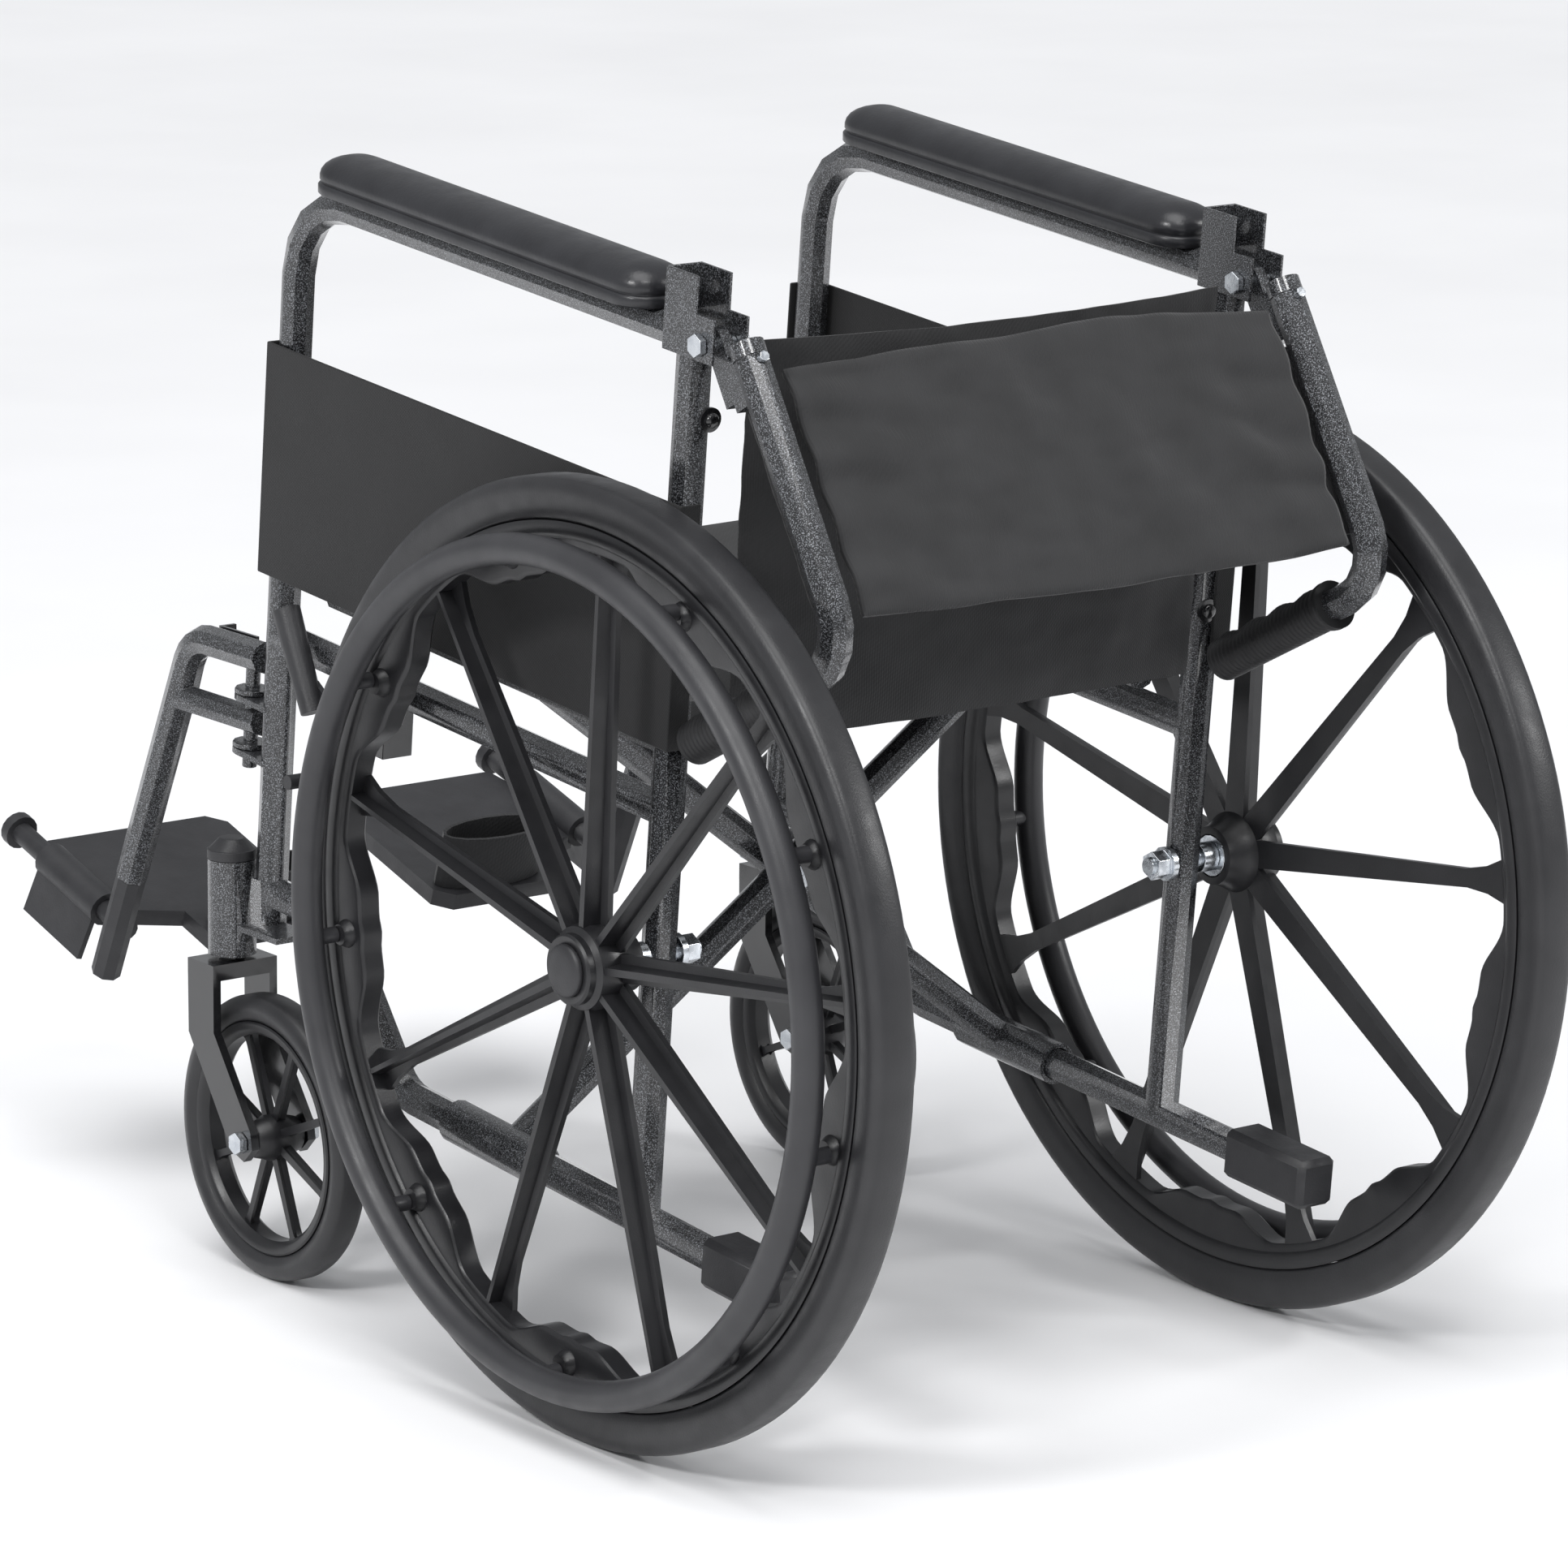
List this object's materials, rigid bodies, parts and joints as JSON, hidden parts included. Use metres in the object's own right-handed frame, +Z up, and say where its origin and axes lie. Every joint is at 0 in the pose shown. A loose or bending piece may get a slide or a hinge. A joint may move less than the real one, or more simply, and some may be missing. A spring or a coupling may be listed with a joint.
{
  "type": "manual wheelchair",
  "caption": "Folding manual wheelchair with spoked plastic wheels, swing-away footrests, padded full-length arms and a fold-down cloth back, shown with its back folded.",
  "frame": {"origin": "on the floor under the middle of the bounding box", "axes": "the user faces -Y, +X is the user's left, +Z is up"},
  "size_m": [0.619, 1.0796, 0.7666],
  "materials": {
    "frame_paint": "black paint with a silver fleck",
    "black_paint": "gloss black paint",
    "wheel_plastic": "satin dark grey moulding",
    "rubber": "dark grey solid tyre",
    "vinyl": "satin black vinyl",
    "nylon": "black nylon twill",
    "soft_grip": "soft black grip",
    "zinc": "bright zinc plate",
    "cap_plastic": "dark grey plastic"
  },
  "bodies": {
    "left_frame": {"left_side_frame": "frame_paint", "left_side_panel": "nylon", "left_arm_pad": "vinyl", "left_back_bracket": "frame_paint", "left_back_pivot_bolt": "zinc", "left_rear_tip_cap": "cap_plastic", "left_axle": "zinc", "left_housing_cap": "cap_plastic", "left_wheel_lock_base": "black_paint", "back_lower": "nylon"},
    "cross_brace_a": {"cross_tube_a": "frame_paint", "cross_bolt": "zinc", "seat_upholstery": "nylon"},
    "cross_brace_b": {"cross_tube_b": "frame_paint"},
    "right_frame": {"right_side_frame": "frame_paint", "right_side_panel": "nylon", "right_arm_pad": "vinyl", "right_back_bracket": "frame_paint", "right_back_pivot_bolt": "zinc", "right_rear_tip_cap": "cap_plastic", "right_axle": "zinc", "right_housing_cap": "cap_plastic", "right_wheel_lock_base": "black_paint"},
    "left_rear_wheel": {"left_tyre": "rubber", "left_wheel": "wheel_plastic", "left_handrim": "frame_paint", "left_wheel_bearing": "zinc", "left_hub_cap": "cap_plastic"},
    "left_caster_swivel": {"left_caster_fork": "black_paint", "left_caster_axle": "zinc"},
    "left_caster": {"left_caster_tyre": "rubber", "left_caster_wheel": "wheel_plastic"},
    "left_footrest": {"left_footrest_hanger": "frame_paint", "left_footplate_tube": "cap_plastic"},
    "left_footrest_latch": {"left_release_lever": "black_paint"},
    "left_foot_support": {"left_footplate": "cap_plastic", "left_heel_loop": "nylon"},
    "left_lock_lever": {"left_wheel_lock_lever": "soft_grip"},
    "left_button": {"left_cane_button": "zinc"},
    "left_cane": {"left_back_cane": "frame_paint", "left_push_grip": "soft_grip", "back_upper": "nylon"},
    "right_rear_wheel": {"right_tyre": "rubber", "right_wheel": "wheel_plastic", "right_handrim": "frame_paint", "right_wheel_bearing": "zinc", "right_hub_cap": "cap_plastic"},
    "right_caster_swivel": {"right_caster_fork": "black_paint", "right_caster_axle": "zinc"},
    "right_caster": {"right_caster_tyre": "rubber", "right_caster_wheel": "wheel_plastic"},
    "right_footrest": {"right_footrest_hanger": "frame_paint", "right_footplate_tube": "cap_plastic"},
    "right_footrest_latch": {"right_release_lever": "black_paint"},
    "right_foot_support": {"right_footplate": "cap_plastic", "right_heel_loop": "nylon"},
    "right_lock_lever": {"right_wheel_lock_lever": "soft_grip"},
    "right_button": {"right_cane_button": "zinc"},
    "right_cane": {"right_back_cane": "frame_paint", "right_push_grip": "soft_grip"}
  },
  "joints": [
    {"name": "frame_fold", "type": "hinge", "parent": "left_frame", "child": "cross_brace_a", "pos_m": [0.2135, 0.06558, 0.14367], "axis": [0, 0.9964, -0.0842], "range_deg": [0, 38], "deforming": ["seat_upholstery", "back_lower", "back_upper"]},
    {"name": "cross_pivot", "type": "hinge", "parent": "cross_brace_a", "child": "cross_brace_b", "pos_m": [0, 0.07907, 0.30343], "axis": [0, 0.9964, -0.0842], "range_deg": [-76, 0]},
    {"name": "right_rail_pivot", "type": "hinge", "parent": "cross_brace_b", "child": "right_frame", "pos_m": [-0.2135, 0.06558, 0.14367], "axis": [0, 0.9964, -0.0842], "range_deg": [0, 38]},
    {"name": "left_wheel_spin", "type": "hinge", "parent": "left_frame", "child": "left_rear_wheel", "pos_m": [0.2636, 0.23476, 0.305], "axis": [1, 0, 0], "continuous": true},
    {"name": "left_caster_turn", "type": "hinge", "parent": "left_frame", "child": "left_caster_swivel", "pos_m": [0.2316, -0.21824, 0.214], "axis": [0, 0, 1], "continuous": true},
    {"name": "left_caster_spin", "type": "hinge", "parent": "left_caster_swivel", "child": "left_caster", "pos_m": [0.2316, -0.16924, 0.097], "axis": [1, 0, 0], "continuous": true},
    {"name": "left_footrest_swing", "type": "hinge", "parent": "left_frame", "child": "left_footrest", "pos_m": [0.2135, -0.21945, 0.38704], "axis": [0, 0.0842, 0.9964], "range_deg": [0, 90]},
    {"name": "left_latch_press", "type": "hinge", "parent": "left_footrest", "child": "left_footrest_latch", "pos_m": [0.2005, -0.24024, 0.4155], "axis": [1, 0, 0], "range_deg": [0, 25], "stiffness_Nm_per_rad": 0.4, "springref_deg": -5.73},
    {"name": "left_footplate_flip", "type": "hinge", "parent": "left_footrest", "child": "left_foot_support", "pos_m": [0.204, -0.39074, 0.1893], "axis": [0, 0.9563, -0.2924], "range_deg": [0, 87.4], "deforming": ["left_heel_loop"]},
    {"name": "left_wheel_lock_turn", "type": "hinge", "parent": "left_frame", "child": "left_lock_lever", "pos_m": [0.2288, -0.09524, 0.395], "axis": [1, 0, 0], "range_deg": [0, 26]},
    {"name": "left_button_press", "type": "slide", "parent": "left_cane", "child": "left_button", "axis": [0, -0.8582, -0.5134], "range_m": [0, 0.002], "stiffness_N_per_m": 500, "springref_m": -0.002},
    {"name": "left_back_fold", "type": "hinge", "parent": "left_frame", "child": "left_cane", "pos_m": [0.2135, 0.29094, 0.69666], "axis": [1, 0, 0], "range_deg": [0, 144.3]},
    {"name": "right_wheel_spin", "type": "hinge", "parent": "right_frame", "child": "right_rear_wheel", "pos_m": [-0.2636, 0.23476, 0.305], "axis": [1, 0, 0], "continuous": true},
    {"name": "right_caster_turn", "type": "hinge", "parent": "right_frame", "child": "right_caster_swivel", "pos_m": [-0.2316, -0.21824, 0.214], "axis": [0, 0, 1], "continuous": true},
    {"name": "right_caster_spin", "type": "hinge", "parent": "right_caster_swivel", "child": "right_caster", "pos_m": [-0.2316, -0.16924, 0.097], "axis": [1, 0, 0], "continuous": true},
    {"name": "right_footrest_swing", "type": "hinge", "parent": "right_frame", "child": "right_footrest", "pos_m": [-0.2135, -0.21945, 0.38704], "axis": [0, -0.0842, -0.9964], "range_deg": [0, 90]},
    {"name": "right_latch_press", "type": "hinge", "parent": "right_footrest", "child": "right_footrest_latch", "pos_m": [-0.2005, -0.24024, 0.4155], "axis": [1, 0, 0], "range_deg": [0, 25], "stiffness_Nm_per_rad": 0.4, "springref_deg": -5.73},
    {"name": "right_footplate_flip", "type": "hinge", "parent": "right_footrest", "child": "right_foot_support", "pos_m": [-0.204, -0.39074, 0.1893], "axis": [0, -0.9563, 0.2924], "range_deg": [0, 87.4], "deforming": ["right_heel_loop"]},
    {"name": "right_wheel_lock_turn", "type": "hinge", "parent": "right_frame", "child": "right_lock_lever", "pos_m": [-0.2288, -0.09524, 0.395], "axis": [1, 0, 0], "range_deg": [0, 26]},
    {"name": "right_button_press", "type": "slide", "parent": "right_cane", "child": "right_button", "axis": [0, -0.8582, -0.5134], "range_m": [0, 0.002], "stiffness_N_per_m": 500, "springref_m": -0.002},
    {"name": "right_back_fold", "type": "hinge", "parent": "right_frame", "child": "right_cane", "pos_m": [-0.2135, 0.29094, 0.69666], "axis": [1, 0, 0], "range_deg": [0, 144.3]}
  ],
  "couplings": [
    {"joint": "cross_pivot", "follows": "frame_fold", "ratio": -2},
    {"joint": "right_rail_pivot", "follows": "frame_fold", "ratio": 1},
    {"joint": "left_footplate_flip", "follows": "frame_fold", "ratio": 2.3},
    {"joint": "right_footplate_flip", "follows": "frame_fold", "ratio": 2.3},
    {"joint": "right_back_fold", "follows": "left_back_fold", "ratio": 1}
  ]
}
